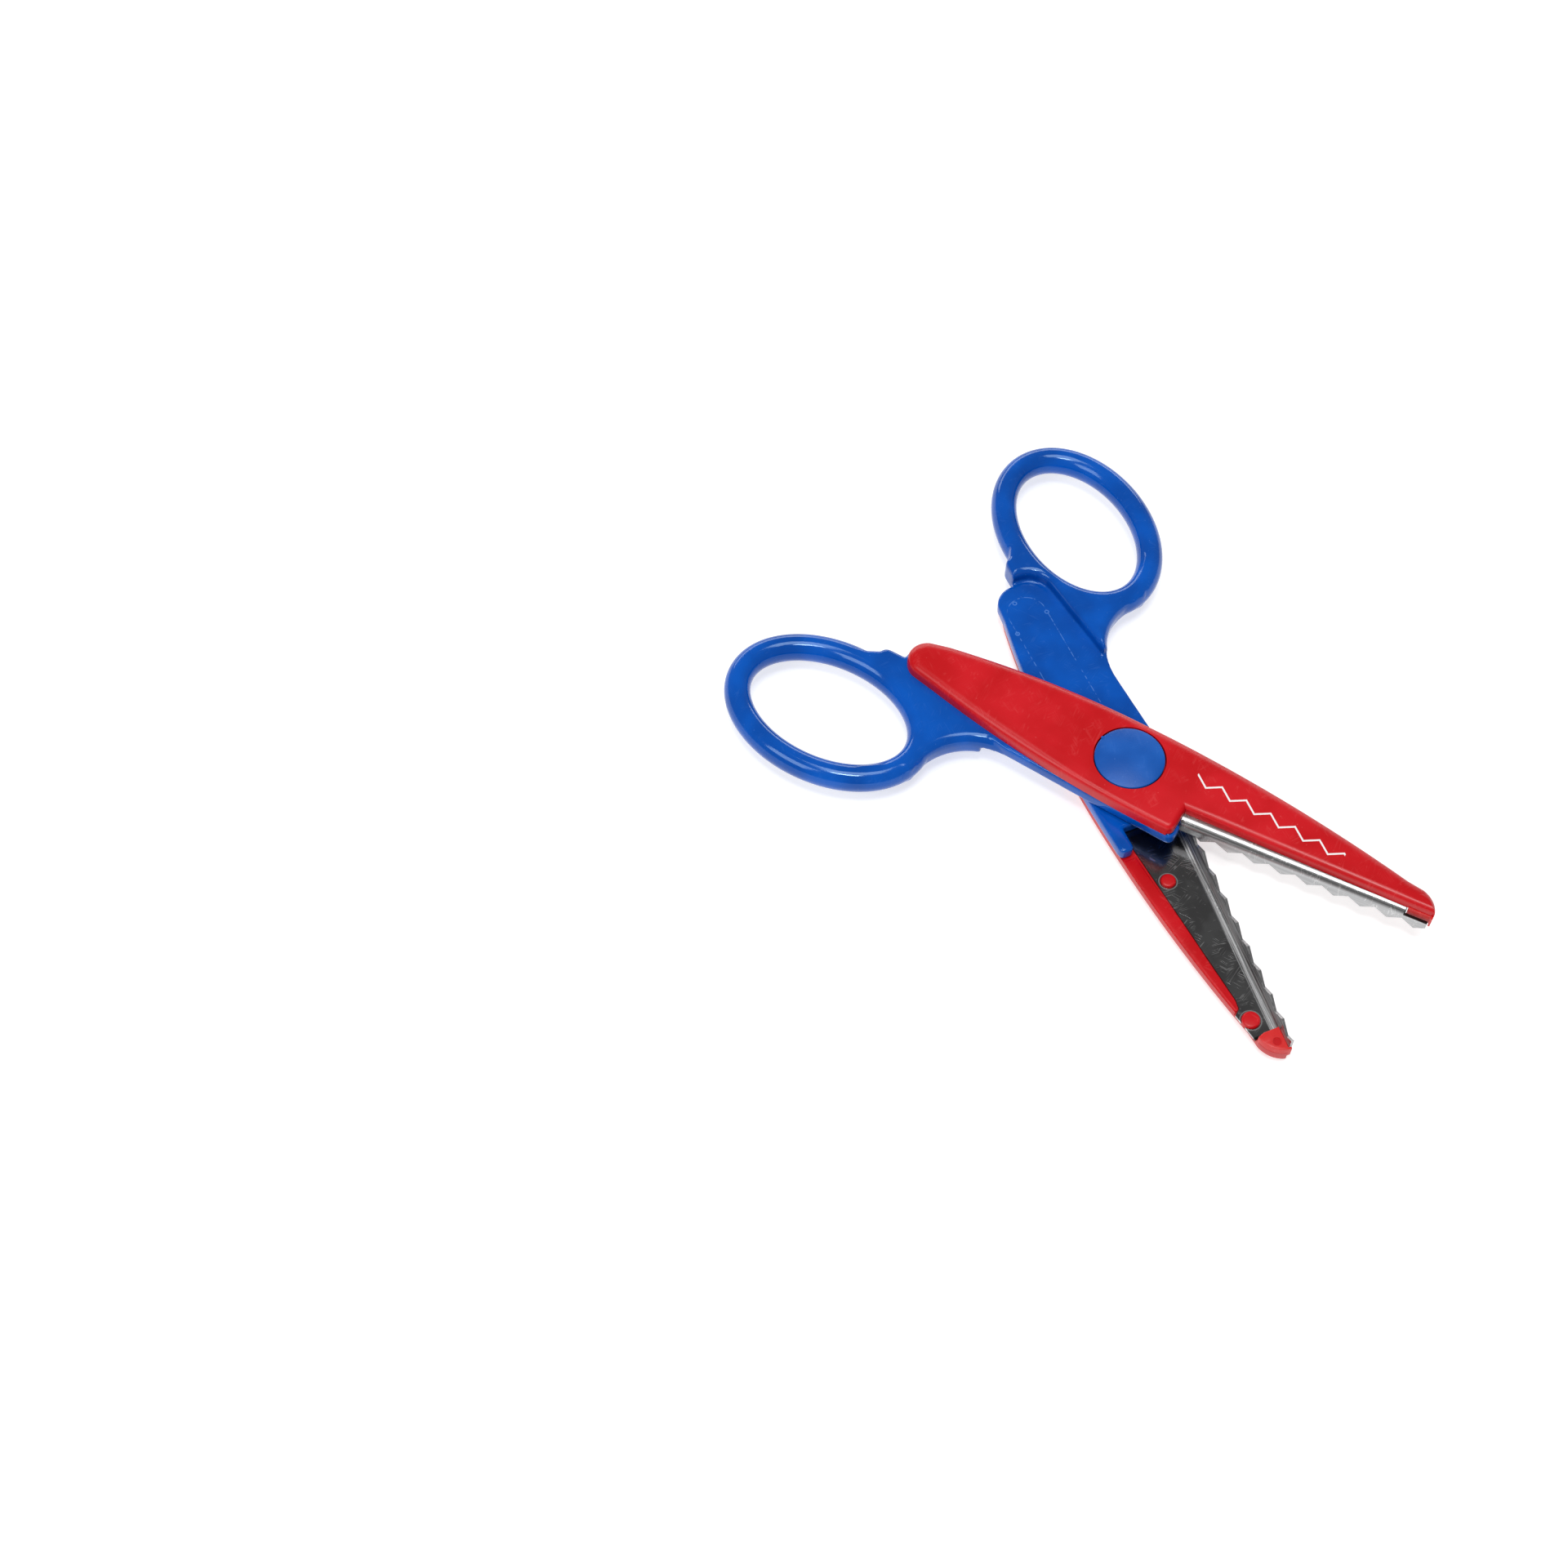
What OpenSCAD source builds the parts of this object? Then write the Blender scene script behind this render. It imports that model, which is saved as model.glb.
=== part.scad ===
// Craft pinking shears: two mirrored levers on a snap-together pivot.
// Each lever is a moulded handle, a bent sheet-steel pinking blade and a cover.
// Origin: pivot axis, on the surface the shears lie on. +X bisects the open
// blades towards the tips, +Z is the pivot axis, pointing up.
// A lever is drawn in its own frame: pivot at the origin, x to the tip, the
// cutting and ring side at -y, z = 0 on the sliding face, cover at +z.

/* [Opening] */
// Angle between the two levers as the shears lie
opening = 36; // [2:1:90]

/* [Lever] */
// Thickness of the handle's tongue, and half of the thickness at the finger ring
slab_t = 2.7; // [2.4:0.1:3]
// Height of the cover above the tongue
cover_t = 2.8; // [2.4:0.1:3.2]
// Cover's end behind the pivot
tail_x = 46; // [44:0.5:48]
// Cover's nose in front of the pivot
nose_x = 60.9; // [60:0.1:62]
// Half width of the cover on its back edge
back_y = 8.6; // [8:0.1:8.8]
// Depth of the cover on its cutting side, at the pivot
front_y = 9.4; // [9:0.1:9.8]
// Radius of the cover's rounded upper edge
edge_r = 1; // [0.4:0.1:1.2]

/* [Finger ring] */
// Half length of the ring, to the middle of its tube
ring_a = 18.35; // [17:0.05:19]
// Half width of the ring, to the middle of its tube
ring_b = 12.7; // [11.5:0.05:13]
// Radius of the ring's tube
tube_r = 2.55; // [2.2:0.05:2.7]

/* [Blade] */
// Thickness of the sheet steel
sheet_t = 0.5; // [0.4:0.1:0.6]
// Distance of the cutting wall from the pivot axis
wall_off = 7.12; // [6.8:0.01:7.3]
// Length of one pinking tooth
tooth_pitch = 4.95; // [4:0.05:6]
// Height of a pinking tooth from root to crest
tooth_h = 1.7; // [1:0.1:1.7]
// Play between the two cutting edges
shear_gap = 0.24; // [0.2:0.02:0.4]

/* [Pivot] */
// Diameter of the pivot buttons
button_d = 12.9; // [12:0.1:13]
// Rise of the buttons' domes above the covers
dome_h = 0.8; // [0.5:0.1:1]
// Diameter of the pivot's hub
hub_d = 8; // [7:0.5:8]

/* [Hidden] */
$fn = 96;

handle_blue = [0.03, 0.27, 0.68];
cover_red = [0.80, 0.09, 0.11];
steel = [0.62, 0.63, 0.64];

run = 0.05;      // radial clearance of the turning fits
slip = 0.15;     // gap round a part that sits in a recess
face_gap = 0.05; // each lever's sliding face stands off the middle plane by this
eps = 0.01;

// Heights in the lever frame
web_top = slab_t + sheet_t;
cover_top = slab_t + cover_t;
mid_z = cover_top + dome_h;
head_z = slab_t + 1.4;

// Plan of the cover
apex_x = -3;
rear_arc_r = 195;
nose_arc_r = 300;
low_x = 12;
low_arc_r = 225;
low_y = -front_y - low_x * low_x / (2 * low_arc_r);
tail_r = 3.8;
tail_c = [tail_r - tail_x, 0.55];
tongue_out = 0.35; // the tongue stands past the cover by this on the back edge
tongue_tail_r = 4.5;
tongue_tail_c = [tail_c[0] + 0.1, 0.8];
step_x = 13.4;    // the cover steps back here to bare the blade
step_y = -4.1;
nose_y = -0.75;   // cutting side of the nose
step_slope = (nose_y - step_y) / (nose_x - step_x);
nose_r = 4.9;
nose_c = [nose_x - nose_r, nose_y - 1.1];
hook_y = -1.6;    // the nose reaches down here past the end of the blade
hook_z = 3.6;

// Blade
wall_angle = 5.14;
bend_r = 1.4;
wall_x0 = 13.5;
wall_x1 = 60.2;
web_x1 = 56.2;
wall_top_nose = 2.1;  // height of the wall in front of the trimmed web
calm_r = 17.6;        // no teeth nearer to the pivot than this
calm_z = 0.3;
valley_r = 23.6;      // the upper blade's teeth point down here
peg_1 = [22, 2.4];
peg_2 = [52.6, 2.1];
peg_r1 = 1.4;
peg_r2 = 1.65;
peg_head = 0.55;
rim_lip = 0.3;        // the cover's rim stands this far past the blade's face
rim_x0 = 15.3;
rim_x1 = 50.2;
block_z = 1.15;       // inner face of the tip block

// Handle
ring_c = [-53.5, -16.6];
ring_tilt = -1.4;
neck_c = [-21.3, -20.3];
neck_r = 12;
root_x1 = -24.8;      // the half of the root beside the other lever ends here
bump_r = 1.7;
bump_y = 0.1;
tab_x = 14.8;
tab_y = 5.7;
front_x = 10;
nest_gap = 0.4;
pocket_x = [-40.4, -23.5];
pocket_y = 0.6;
pocket_r = 3.2;
pocket_z = 0.9;

// Points on an arc about c, from angle a0 to a1
function arc(c, r, a0, a1, n) =
    [for (i = [0:n]) let (a = a0 + (a1 - a0) * i / n) c + r * [cos(a), sin(a)]];

// Points on the arcs that bound the cover, at equal steps of x, drawn in by d
function back_edge(x0, x1, r, d, n) =
    [for (i = [0:n]) let (x = x0 + (x1 - x0) * i / n)
        [x, back_y - d - pow(x - apex_x, 2) / (2 * (r - d))]];
function low_edge(x0, x1, d, n) =
    [for (i = [0:n]) let (x = x0 + (x1 - x0) * i / n)
        [x, low_y + d + pow(x - low_x, 2) / (2 * (low_arc_r - d))]];
function step_edge_y(x) = step_y + step_slope * (x - step_x);

// Plan of the cover, drawn in by d
function cover_plan(d) = concat(
    arc(tail_c, tail_r - d, 260, 100, 12),
    back_edge(tail_c[0] + 1, apex_x, rear_arc_r, d, 8),
    back_edge(4, nose_c[0] - 1, nose_arc_r, d, 9),
    arc(nose_c, nose_r - d, 78, asin((nose_y + d - nose_c[1]) / (nose_r - d)), 8),
    [[step_x - d, step_edge_y(step_x) + d]],
    arc([step_x - 1.3, low_y + 1.3], 1.3 - d, 0, -90, 4),
    low_edge(8, tail_c[0] + 3, d, 9)
);

// Plan of the tongue that carries the cover
function tongue_plan() = concat(
    arc(tongue_tail_c, tongue_tail_r, 245, 105, 12),
    back_edge(-36, apex_x, rear_arc_r, -tongue_out, 7),
    back_edge(4, tab_x - 1, nose_arc_r, -tongue_out, 3),
    arc([tab_x - 0.9, tab_y + 1], 0.9, 0, -90, 4),
    [[front_x, tab_y], [front_x, -3.5], [step_x - 0.3, -3.5], [step_x - 0.3, -6.4]],
    [[step_x + 0.5, -6.4]],
    arc([step_x - 0.8, low_y + 1.3], 1.3, 0, -90, 4),
    [[-4, -9.15], [neck_c[0], neck_c[1] + neck_r]],
    low_edge(-30, tail_c[0] + 3, 0, 4)
);

// Plan of the other lever's tongue as it lies when the shears are shut, with a gap
function nest_plan(d) = concat(
    [for (p = arc(tongue_tail_c, tongue_tail_r + d, 180, 100, 8)) [p[0], -p[1]]],
    [for (p = back_edge(-36, apex_x, rear_arc_r, -tongue_out - d, 8)) [p[0], -p[1]]],
    [[apex_x, 20], [tongue_tail_c[0] - tongue_tail_r - d, 20]]
);

// What to cut away round a plan, to round its upper edge at height z1 to radius r
module edge_cutter(plan, z1, r) {
    steps = 5;
    step = 90 / steps;
    profile = concat(
        [[-1, z1 - 1.5 * r], [-r * (1 - cos(step)), z1 - r - r * sin(step)]],
        [for (i = [1:steps - 1]) [r * (1 - cos(i * step)), z1 - r + r * sin(i * step)]],
        [[1.1 * r, z1 + 0.1 * r * tan(step / 2)], [1.1 * r, z1 + 1], [-1, z1 + 1]]
    );
    n = len(plan(0));
    m = len(profile);
    points = [for (row = profile) for (p = plan(row[0])) [p[0], p[1], row[1]]];
    faces = [for (k = [0:m - 1]) for (i = [0:n - 1])
        let (j = (i + 1) % n, above = (k + 1) % m * n)
        for (f = [[k * n + j, k * n + i, above + i], [k * n + j, above + i, above + j]])
            f];
    polyhedron(points, faces);
}

// Straight slot with round ends between two heights
module slot(x0, x1, y, r, z0, z1) {
    for (x = [x0, x1])
        translate([x, y, z0])
            cylinder(r = r, h = z1 - z0);
    translate([x0, y - r, z0])
        cube([x1 - x0, 2 * r, z1 - z0]);
}

// Places a lever drawn in its own frame
module as_upper() {
    translate([0, 0, mid_z])
        rotate([0, 0, opening / 2])
            children();
}
module as_lower() {
    translate([0, 0, mid_z])
        rotate([0, 0, -opening / 2])
            rotate([180, 0, 0])
                children();
}

// Finger ring: a tube swept round an oval
module ring() {
    around = 72;
    sides = 16;
    points = [for (i = [0:around - 1])
        let (t = 360 * i / around)
        let (centre = [ring_a * cos(t), ring_b * sin(t)])
        let (normal = [ring_b * cos(t), ring_a * sin(t)])
        let (out = tube_r * normal / norm(normal))
        for (j = [0:sides - 1])
            let (u = 360 * j / sides)
            let (p = centre + cos(u) * out)
            [p[0], p[1], tube_r * sin(u)]];
    faces = [for (i = [0:around - 1]) for (j = [0:sides - 1])
        let (a = (i + 1) % around * sides, b = (j + 1) % sides, c = i * sides)
        for (f = [[c + j, c + b, a + b], [c + j, a + b, a + j]])
            f];
    polyhedron(points, faces);
}

// Inside of the ring's middle line, as an oval plate
module ring_plate() {
    polygon([for (i = [0:47]) [ring_a * cos(7.5 * i), ring_b * sin(7.5 * i)]]);
}

// Plan of the web between the ring and the tongue, with the stop bump, as far as x1
module root_plan(x1) {
    difference() {
        polygon(concat(
            [[-46.5, bump_y]],
            arc([-50.6, bump_y - bump_r], bump_r, 90, 180, 4),
            [[-52.6, -3.2], [-53.5, -5.5], [-58, -12], [-36.5, -20.5], [-34, -20.5]],
            [[x1, neck_c[1]], [x1, -5], [-40, 0]]
        ));
        translate(ring_c)
            rotate(ring_tilt)
                ring_plate();
        translate(neck_c)
            circle(r = neck_r);
    }
}

module handle() {
    difference() {
        union() {
            translate([0, 0, face_gap])
                linear_extrude(slab_t - face_gap) {
                    polygon(tongue_plan());
                    root_plan(neck_c[0]);
                }
            difference() {
                union() {
                    translate([0, 0, -slab_t])
                        linear_extrude(slab_t + face_gap + eps)
                            root_plan(root_x1);
                    translate([ring_c[0], ring_c[1], 0])
                        rotate([0, 0, ring_tilt])
                            ring();
                }
                translate([0, 0, -slab_t - 1])
                    linear_extrude(slab_t + 1 + face_gap)
                        polygon(nest_plan(nest_gap));
            }
        }
        slot(pocket_x[0], pocket_x[1], pocket_y, pocket_r, pocket_z, slab_t + 1);
        translate([0, 0, -1])
            cylinder(d = hub_d + 2 * run, h = slab_t + 2);
    }
}

// Plan of the flat of the blade, grown by g
function web_plan(g) = concat(
    [[0, 6.6 + g], [front_x, 5.35 + g], [30, 3.85 + g], [48, 2.6 + g], [49.8, 2.9 + g]],
    [[50.7 - g, 4.1 + g], [web_x1 + g, 3.2 + g]],
    [[web_x1 + g, wall_y(web_x1) + bend_r], [wall_x0, wall_y(wall_x0) + bend_r]],
    [[wall_x0 - 2, -5.2 - g], [0, -7.4 - g]]
);
function wall_y(x) = tan(wall_angle) * x - wall_off / cos(wall_angle);

// Distance along the cutting wall of the point at radius r from the pivot
function along(r) = sqrt(r * r - pow(wall_off - sheet_t / 2, 2));

// Height of the shared cutting line at each half tooth; sense is 1 or -1
function tooth_line(sense) = [
    for (k = [-2:16])
        let (r = valley_r + k * tooth_pitch / 2)
        if (r > calm_r + 0.8)
            [along(r), (k % 2 == 0 ? -1 : 1) * sense * tooth_h / 2 + shear_gap / 2]
];

// Everything under the toothed edge of the cutting wall
module tooth_cut(sense) {
    line = tooth_line(sense);
    first = along(calm_r);
    rotate([90, 0, 0])
        translate([0, 0, -4])
            linear_extrude(8)
                polygon(concat(
                    [[0, -6], [0, calm_z], [first, calm_z]],
                    line,
                    [[line[len(line) - 1][0], -6]]
                ));
}

// Sheet-steel blade: a flat under the cover and a toothed wall bent from its edge
module blade(sense) {
    s0 = wall_x0 / cos(wall_angle) - wall_off * tan(wall_angle);
    s1 = wall_x1 / cos(wall_angle) - wall_off * tan(wall_angle);
    difference() {
        union() {
            translate([0, 0, slab_t])
                linear_extrude(sheet_t) {
                    polygon(web_plan(0));
                    circle(r = 7.4);
                }
            rotate([0, 0, wall_angle])
                translate([0, -wall_off, 0])
                    difference() {
                        translate([s0, 0, 0])
                            rotate([90, 0, 90])
                                linear_extrude(s1 - s0)
                                    polygon(concat(
                                        [[bend_r + 0.5, slab_t], [bend_r + 0.5, web_top]],
                                        arc([bend_r, web_top - bend_r], bend_r, 90, 180, 8),
                                        [[0, -1.5], [sheet_t, -1.5]],
                                        arc([bend_r, web_top - bend_r], bend_r - sheet_t, 180, 90, 8)
                                    ));
                        tooth_cut(sense);
                        translate([s0 + web_x1 - wall_x0, -1, wall_top_nose])
                            cube([10, 5, 5]);
                    }
        }
        translate([0, 0, slab_t - 1])
            cylinder(d = hub_d + 4 * run, h = 3);
        translate([peg_1[0], peg_1[1], slab_t - 1])
            cylinder(r = peg_r1 + 0.1, h = 3);
        translate([peg_2[0], peg_2[1], slab_t - 1])
            cylinder(r = peg_r2 + 0.1, h = 3);
    }
}

// Rim of the cover beside the blade, standing a little past the blade's face
module rim() {
    translate([0, 0, slab_t - rim_lip])
        linear_extrude(rim_lip + eps)
            intersection() {
                polygon(cover_plan(0.1));
                polygon([
                    [rim_x0, 5.35 + slip], [30, 3.85 + slip], [48, 2.6 + slip],
                    [49.2, 2.75 + slip], [rim_x1 - 0.2, 3.4], [rim_x1, 10], [rim_x0, 10]
                ]);
            }
}

// Block that closes the nose and guards the end of the blade
module tip_block() {
    translate([0, 0, block_z])
        linear_extrude(hook_z - block_z)
            polygon([
                [wall_x1 + slip, 0.5], [nose_x - 0.1, 0.5],
                [nose_x, hook_y + 0.5], [nose_x - 0.2, hook_y], [wall_x1 + slip, hook_y]
            ]);
    difference() {
        translate([0, 0, block_z])
            linear_extrude(web_top + 0.3 - block_z)
                intersection() {
                    polygon(cover_plan(0.1));
                    polygon([
                        [web_x1 + slip + 0.2, wall_y(web_x1) + sheet_t + slip],
                        [wall_x1 + slip, wall_y(wall_x1) + sheet_t + slip],
                        [wall_x1 + slip, -3], [nose_x + 1, -3], [nose_x + 1, 5],
                        [web_x1 + 1.2, 5], [web_x1 + slip, 1.6]
                    ]);
                }
        translate([58.6, 0.4, block_z - eps])
            cylinder(r = 0.8, h = 0.2);
    }
}

module cover() {
    difference() {
        union() {
            difference() {
                translate([0, 0, slab_t])
                    linear_extrude(cover_t)
                        polygon(cover_plan(0));
                edge_cutter(function(d) cover_plan(d), cover_top, edge_r);
                translate([0, 0, slab_t - 1])
                    linear_extrude(1 + sheet_t + face_gap) {
                        polygon(web_plan(slip));
                        circle(r = 7.4 + slip);
                        // room for the bend of the blade
                        polygon([
                            [step_x - 0.4, -10], [nose_x + 2, -10], [nose_x + 2, -3],
                            [web_x1 + slip, 1.6], [step_x - 0.4, -3]
                        ]);
                    }
            }
            rim();
            tip_block();
            slot(pocket_x[0], pocket_x[1], pocket_y, pocket_r - slip, pocket_z + slip, slab_t + eps);
            translate([peg_1[0], peg_1[1], slab_t - peg_head])
                cylinder(r = peg_r1, h = sheet_t + peg_head + 0.2);
            translate([peg_2[0], peg_2[1], slab_t - peg_head])
                cylinder(r = peg_r2, h = sheet_t + peg_head + 0.2);
        }
        translate([0, 0, head_z - face_gap])
            cylinder(d = button_d + 0.5, h = 5);
        translate([0, 0, slab_t - 1])
            cylinder(d = hub_d + 2 * run, h = 5);
    }
}

// Half profile of a button's head: radius and height above the middle plane
function head_profile(r0) =
    let (r = button_d / 2, cap_r = (r * r + dome_h * dome_h) / (2 * dome_h))
    concat(
        [[r0, head_z], [r, head_z], [r, cover_top]],
        [for (i = [1:8])
            let (q = r - (r - 2) * i / 8)
            [q, cover_top + dome_h - cap_r + sqrt(cap_r * cap_r - q * q)]],
        [[2, mid_z], [r0, mid_z]]
    );

stud_r = 1.9;
barb_r = 2.15;
joint_z = -0.6;   // the two hubs meet here, beside the middle plane

// Outer half of the pivot: a domed head with a socket in its hub
module socket_button() {
    rotate_extrude()
        difference() {
            union() {
                polygon(head_profile(0));
                translate([0, joint_z + face_gap])
                    square([hub_d / 2, head_z + eps - joint_z - face_gap]);
            }
            translate([0, joint_z - 1])
                square([stud_r + run, 4.6]);
            translate([0, 1.9])
                square([barb_r + run, 1.1]);
        }
}

// The two halves share one axis, so the stud half is drawn upside down
module stud_half() {
    rotate([180, 0, 0])
        rotate_extrude() {
            polygon(head_profile(0));
            translate([0, -joint_z])
                square([hub_d / 2, head_z + joint_z + eps]);
            translate([0, joint_z - 2.4])
                square([stud_r, 4.4]);
            polygon([[0, -2.9], [stud_r, -2.9], [barb_r, -2.2], [barb_r, -1.95], [0, -1.95]]);
        }
}

module lower_handle() {
    color(handle_blue)
        as_lower()
            handle();
}
module lower_blade() {
    color(steel)
        as_lower()
            blade(-1);
}
module lower_cover() {
    color(cover_red)
        as_lower()
            cover();
}
module lower_button() {
    color(handle_blue)
        translate([0, 0, mid_z])
            stud_half();
}
module upper_handle() {
    color(handle_blue)
        as_upper()
            handle();
}
module upper_blade() {
    color(steel)
        as_upper()
            blade(1);
}
module upper_cover() {
    color(cover_red)
        as_upper()
            cover();
}
module upper_button() {
    color(handle_blue)
        translate([0, 0, mid_z])
            socket_button();
}

lower_handle();
lower_blade();
lower_cover();
lower_button();
upper_handle();
upper_blade();
upper_cover();
upper_button();
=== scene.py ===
"""Craft pinking shears: glossy handles, satin covers, stamped steel blades, pivot buttons."""

import math

import bpy
from mathutils import Matrix, Vector


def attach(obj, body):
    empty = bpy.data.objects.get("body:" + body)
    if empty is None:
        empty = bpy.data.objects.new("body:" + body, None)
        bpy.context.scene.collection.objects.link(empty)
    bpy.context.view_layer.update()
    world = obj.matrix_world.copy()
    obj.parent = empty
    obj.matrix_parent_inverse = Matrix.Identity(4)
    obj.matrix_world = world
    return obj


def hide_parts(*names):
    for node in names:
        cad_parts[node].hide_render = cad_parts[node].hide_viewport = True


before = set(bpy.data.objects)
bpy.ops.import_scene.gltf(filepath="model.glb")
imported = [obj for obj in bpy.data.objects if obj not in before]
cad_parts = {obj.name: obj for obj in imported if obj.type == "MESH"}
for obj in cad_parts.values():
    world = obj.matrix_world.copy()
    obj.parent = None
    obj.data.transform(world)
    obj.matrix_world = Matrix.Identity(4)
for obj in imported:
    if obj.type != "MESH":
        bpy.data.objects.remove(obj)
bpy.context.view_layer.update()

# ---------------------------------------------------------------- sizes, in mm
# A lever is drawn in its own frame: pivot at the origin, x to the tip, the
# cutting and ring side at -y, z = 0 on the sliding face, cover at +z.
MID_Z = 6.3
HALF_OPENING = 18
SLAB = 2.7
SHEET = 0.5
COVER_TOP = 5.5
DOME_TOP = 6.3
FACE_GAP = 0.05

RING_CENTRE = (-53.5, -16.6)
RING_TILT = -1.4
RING_A = 18.36
RING_B = 12.72
TUBE_R = 2.5
TUBE_HIGH = 1.08
ROOT_HALF = 2.65

BACK_Y = 8.6
APEX_X = -3
REAR_R = 195
NOSE_R = 300
LOW_X = 12
LOW_Y = -9.72
LOW_R = 225
TAIL_C = (-42.2, 0.55)
TAIL_R = 3.8
STEP_X = 13.4
STEP_Y = -4.1
STEP_SLOPE = 0.0705
NOSE_C = (55.96, -1.85)
NOSE_ARC_R = 4.9
NOSE_END_Y = -0.75
NECK_C = (-21.3, -20.3)
NECK_R = 12.0
CORNER_R = 1.3
TONGUE_TAIL_C = (-42.1, 0.8)
TONGUE_TAIL_R = 4.5
TONGUE_OUT = 0.35

BUTTON_R = 6.45
HEAD_Z = 4.1
HUB_ROOM_R = 4.05
NUB_ANGLE = 168

# The blade's cutting wall, outer face: y = WALL_Y + WALL_SLOPE * x.
WALL_SLOPE = 0.08995
WALL_Y = -7.149
REAR_PEG = (22, 2.4)
FRONT_PEG = (52.6, 2.1)
GATE = (58.6, 0.4)
# Lowest points of the rim and the tip block, and how far both reach into the cover.
RIM_Z = 2.4
TIP_Z = 1.15
SUNK_Z = 3.6


def arc(centre, radius, start, end, count):
    """Points on an arc, angles in degrees."""
    angles = [math.radians(start + (end - start) * i / count) for i in range(count + 1)]
    return [(centre[0] + radius * math.cos(a), centre[1] + radius * math.sin(a)) for a in angles]


def back_edge(x0, x1, radius, out, count):
    """Points on the long curve of the back, set out by out."""
    xs = [x0 + (x1 - x0) * i / count for i in range(count + 1)]
    return [(x, BACK_Y + out - (x - APEX_X) ** 2 / (2 * radius)) for x in xs]


def low_edge(x0, x1, count, inset=0.0):
    """Points on the cutting side behind the step."""
    xs = [x0 + (x1 - x0) * i / count for i in range(count + 1)]
    return [(x, LOW_Y + inset + (x - LOW_X) ** 2 / (2 * (LOW_R - inset))) for x in xs]


def step_edge(x):
    return STEP_Y + STEP_SLOPE * (x - STEP_X)


def cover_outline(inset=0.0):
    """Plan of the cover, drawn in by inset."""
    inner = NOSE_ARC_R - inset
    end = math.degrees(math.asin(min(0.98, (NOSE_END_Y + inset - NOSE_C[1]) / inner)))
    step = (STEP_X - inset, step_edge(STEP_X) + inset)
    nose = arc(NOSE_C, inner, 76, end, 14)
    end_x, end_y = nose[-1]
    along = [(end_x + (step[0] - end_x) * i / 6, end_y + (step[1] - end_y) * i / 6)
             for i in range(1, 7)]
    return (
        arc(TAIL_C, TAIL_R - inset, 260, 100, 20)
        + back_edge(-40, APEX_X - 1, REAR_R - inset, -inset, 20)
        + back_edge(4, 54, NOSE_R - inset, -inset, 24)
        + nose + along
        + [(step[0], step[1] - 1), (step[0], step[1] - 2.5)]
        + arc((STEP_X - CORNER_R, LOW_Y + CORNER_R), CORNER_R - inset, 0, -88, 8)
        + low_edge(8, -38.5, 26, inset)
    )


def tongue_outline():
    return (
        arc(TONGUE_TAIL_C, TONGUE_TAIL_R, 245, 105, 18)
        + back_edge(-40, APEX_X, REAR_R, TONGUE_OUT, 18)
        + back_edge(3, 13.6, NOSE_R, TONGUE_OUT, 5)
        + arc((13.9, 7.5), 0.9, 60, 0, 3)
        + arc((13.9, 6.6), 0.9, 0, -90, 5)
        + [(10, 5.7), (10, -3.5), (13.1, -3.5), (13.1, -6.4), (13.9, -6.4)]
        + arc((12.6, LOW_Y + CORNER_R), CORNER_R, 0, -85, 6)
        + [(4, -9.4), (-4, -9.15), (-12, -8.72), (-18, -8.42), (NECK_C[0], NECK_C[1] + NECK_R)]
        + [(-25, -7.6)] + low_edge(-30, -39, 6)
    )


def ring_point(angle, out=0.0):
    """A place beside the middle line of the ring's tube."""
    a, tilt = math.radians(angle), math.radians(RING_TILT)
    along = math.hypot(RING_B * math.cos(a), RING_A * math.sin(a))
    u = (RING_A + out * RING_B / along) * math.cos(a)
    v = (RING_B + out * RING_A / along) * math.sin(a)
    return (RING_CENTRE[0] + u * math.cos(tilt) - v * math.sin(tilt),
            RING_CENTRE[1] + u * math.sin(tilt) + v * math.cos(tilt))


def root_outline():
    """Web between the ring and the tongue; its ring side runs along the tube's middle."""
    neck = arc(NECK_C, NECK_R, 90, 178, 24)
    taper = [ring_point(-14 - 4 * i, 2.4 - 0.4 * i) for i in range(6)]
    middle = [ring_point(-38 + 162 * i / 30) for i in range(31)]
    stop = ([(-56.5, -2.6), (-53.6, -2.1)] + arc((-49.8, -1.35), 1.7, 165, 90, 7)
            + [(-47.6, 0.35), (-45.5, 0.3)])
    return neck + taper + middle + stop + [(-40, 0), (-21.3, -4)]


# ------------------------------------------------------------- modelling tools
def deselect():
    if bpy.context.mode != "OBJECT":
        bpy.ops.object.mode_set(mode="OBJECT")
    bpy.ops.object.select_all(action="DESELECT")


def pick(obj):
    deselect()
    obj.select_set(True)
    bpy.context.view_layer.objects.active = obj
    return obj


def select_edges(obj, test):
    """In edit mode, selects the edges whose two ends pass the test."""
    bpy.ops.mesh.select_all(action="DESELECT")
    bpy.ops.object.mode_set(mode="OBJECT")
    mesh = obj.data
    for e in mesh.edges:
        a, b = (mesh.vertices[i].co for i in e.vertices)
        e.select = test(a, b)
    bpy.ops.object.mode_set(mode="EDIT")


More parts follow.
